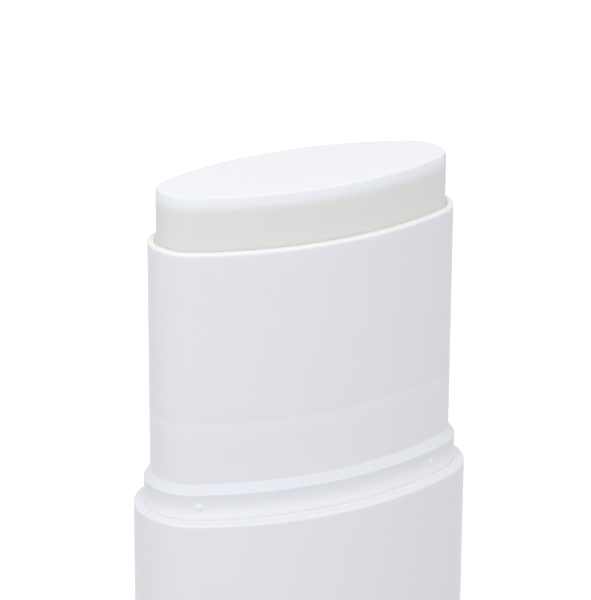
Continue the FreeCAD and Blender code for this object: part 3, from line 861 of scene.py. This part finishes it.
def look_at(piece, aim, distance, axes):
    """Put a camera or a light that far back from a point, facing it."""
    turn = Matrix(axes).transposed().to_4x4()
    piece.matrix_world = Matrix.Translation(aim + axes[2] * distance) @ turn


def softbox(name, power, size, azimuth, elevation, distance, aim):
    """A square light of a given size, that far from the aim point and facing it; its side is in degrees."""
    data = bpy.data.lights.new(name, "AREA")
    data.energy = power
    data.shape = "SQUARE"
    data.size = size
    lamp = bpy.data.objects.new(name, data)
    bpy.context.scene.collection.objects.link(lamp)
    look_at(lamp, aim, distance, view_axes(math.radians(azimuth), math.radians(elevation), 0.0))


def background_rays(tree):
    """1 where a ray comes from the camera, a gloss or a glass, which see a plain white background."""
    path = add_node(tree, "ShaderNodeLightPath")
    first = add_node(tree, "ShaderNodeMath", {"operation": "MAXIMUM"})
    second = add_node(tree, "ShaderNodeMath", {"operation": "MAXIMUM"})
    tree.links.new(path.outputs["Is Camera Ray"], first.inputs[0])
    tree.links.new(path.outputs["Is Glossy Ray"], first.inputs[1])
    tree.links.new(first.outputs[0], second.inputs[0])
    tree.links.new(path.outputs["Is Transmission Ray"], second.inputs[1])
    return second.outputs[0]


def make_world(ambient):
    world = bpy.data.worlds.new("studio")
    bpy.context.scene.world = world
    world.use_nodes = True
    tree = world.node_tree
    tree.nodes.clear()
    around = add_node(tree, "ShaderNodeBackground", Color=WHITE, Strength=ambient)
    white = add_node(tree, "ShaderNodeBackground", Color=WHITE, Strength=1.0)
    mix = add_node(tree, "ShaderNodeMixShader")
    out = add_node(tree, "ShaderNodeOutputWorld")
    tree.links.new(background_rays(tree), mix.inputs["Fac"])
    tree.links.new(around.outputs[0], mix.inputs[1])
    tree.links.new(white.outputs[0], mix.inputs[2])
    tree.links.new(mix.outputs[0], out.inputs["Surface"])


def floor_material(tint, glow):
    """Floor that takes the shadow; the camera and the glosses see it lifted to plain white."""
    material = new_material("floor")
    tree = material.node_tree
    paint = add_node(tree, "ShaderNodeBsdfDiffuse", Color=rgba(tint))
    white = add_node(tree, "ShaderNodeEmission", Color=WHITE)
    lift = add_node(tree, "ShaderNodeMath", {"operation": "MULTIPLY"})
    lift.inputs[1].default_value = glow
    both = add_node(tree, "ShaderNodeAddShader")
    out = add_node(tree, "ShaderNodeOutputMaterial")
    tree.links.new(background_rays(tree), lift.inputs[0])
    tree.links.new(lift.outputs[0], white.inputs["Strength"])
    tree.links.new(paint.outputs[0], both.inputs[0])
    tree.links.new(white.outputs[0], both.inputs[1])
    tree.links.new(both.outputs[0], out.inputs["Surface"])
    return material


class STICK_OT_stage(bpy.types.Operator):
    """Set the floor, the light and the camera"""

    bl_idname = "stick.stage"
    bl_label = "Stage"

    def execute(self, context):
        scene = context.scene
        stage = settings("stage")
        centre = (CAD_BOX[0] + CAD_BOX[1]) / 2
        reach = (CAD_BOX[1] - CAD_BOX[0]).length

        mesh = bpy.data.meshes.new("floor")
        shape = bmesh.new()
        bmesh.ops.create_circle(shape, cap_ends=True, segments=FLOOR_STEPS, radius=reach * FLOOR_RADIUS)
        shape.to_mesh(mesh)
        shape.free()
        mesh.materials.append(floor_material(settings("colours").floor, stage.floor_glow))
        floor = bpy.data.objects.new("floor", mesh)
        scene.collection.objects.link(floor)

        make_world(stage.ambient)
        size, distance = reach * KEY_SIZE, reach * KEY_DISTANCE
        softbox("key_light", stage.key_power, size, KEY_AZIMUTH, KEY_ELEVATION, distance, centre)

        aim = Vector((0.0, 0.0, stage.aim_height)) + level_right(stage.azimuth) * stage.aim_sideways
        data = bpy.data.cameras.new("camera")
        data.lens = stage.lens
        data.clip_start = CLIP_START
        camera = bpy.data.objects.new("camera", data)
        scene.collection.objects.link(camera)
        look_at(camera, aim, stage.distance, view_axes(stage.azimuth, stage.elevation, stage.roll))
        scene.camera = camera
        scene.view_settings.view_transform = "Standard"
        return {"FINISHED"}


PIECE_OPERATORS = (
    STICK_OT_case,
    STICK_OT_sleeve,
    STICK_OT_drive,
    STICK_OT_bar,
    STICK_OT_dial,
    STICK_OT_stage,
)


class STICK_PT_panel(bpy.types.Panel):
    """The stick's pieces, in the order in which they are made"""

    bl_idname = "STICK_PT_panel"
    bl_label = "Sunscreen stick"
    bl_space_type = "VIEW_3D"
    bl_region_type = "UI"
    bl_category = "Stick"

    def draw(self, context):
        for operator in PIECE_OPERATORS:
            self.layout.operator(operator.bl_idname)


GROUPS = {
    "colours": STICK_PG_colours,
    "finish": STICK_PG_finish,
    "sleeve": STICK_PG_sleeve,
    "bar": STICK_PG_bar,
    "dial": STICK_PG_dial,
    "stage": STICK_PG_stage,
}
CLASSES = (*GROUPS.values(), *PIECE_OPERATORS, STICK_PT_panel)


def register():
    for made in CLASSES:
        bpy.utils.register_class(made)
    for name, group in GROUPS.items():
        setattr(bpy.types.Scene, f"stick_{name}", PointerProperty(type=group))


def unregister():
    for name in GROUPS:
        delattr(bpy.types.Scene, f"stick_{name}")
    for made in reversed(CLASSES):
        bpy.utils.unregister_class(made)


def main():
    register()
    for operator in PIECE_OPERATORS:
        area, name = operator.bl_idname.split(".")
        getattr(getattr(bpy.ops, area), name)()


if __name__ == "__main__":
    main()
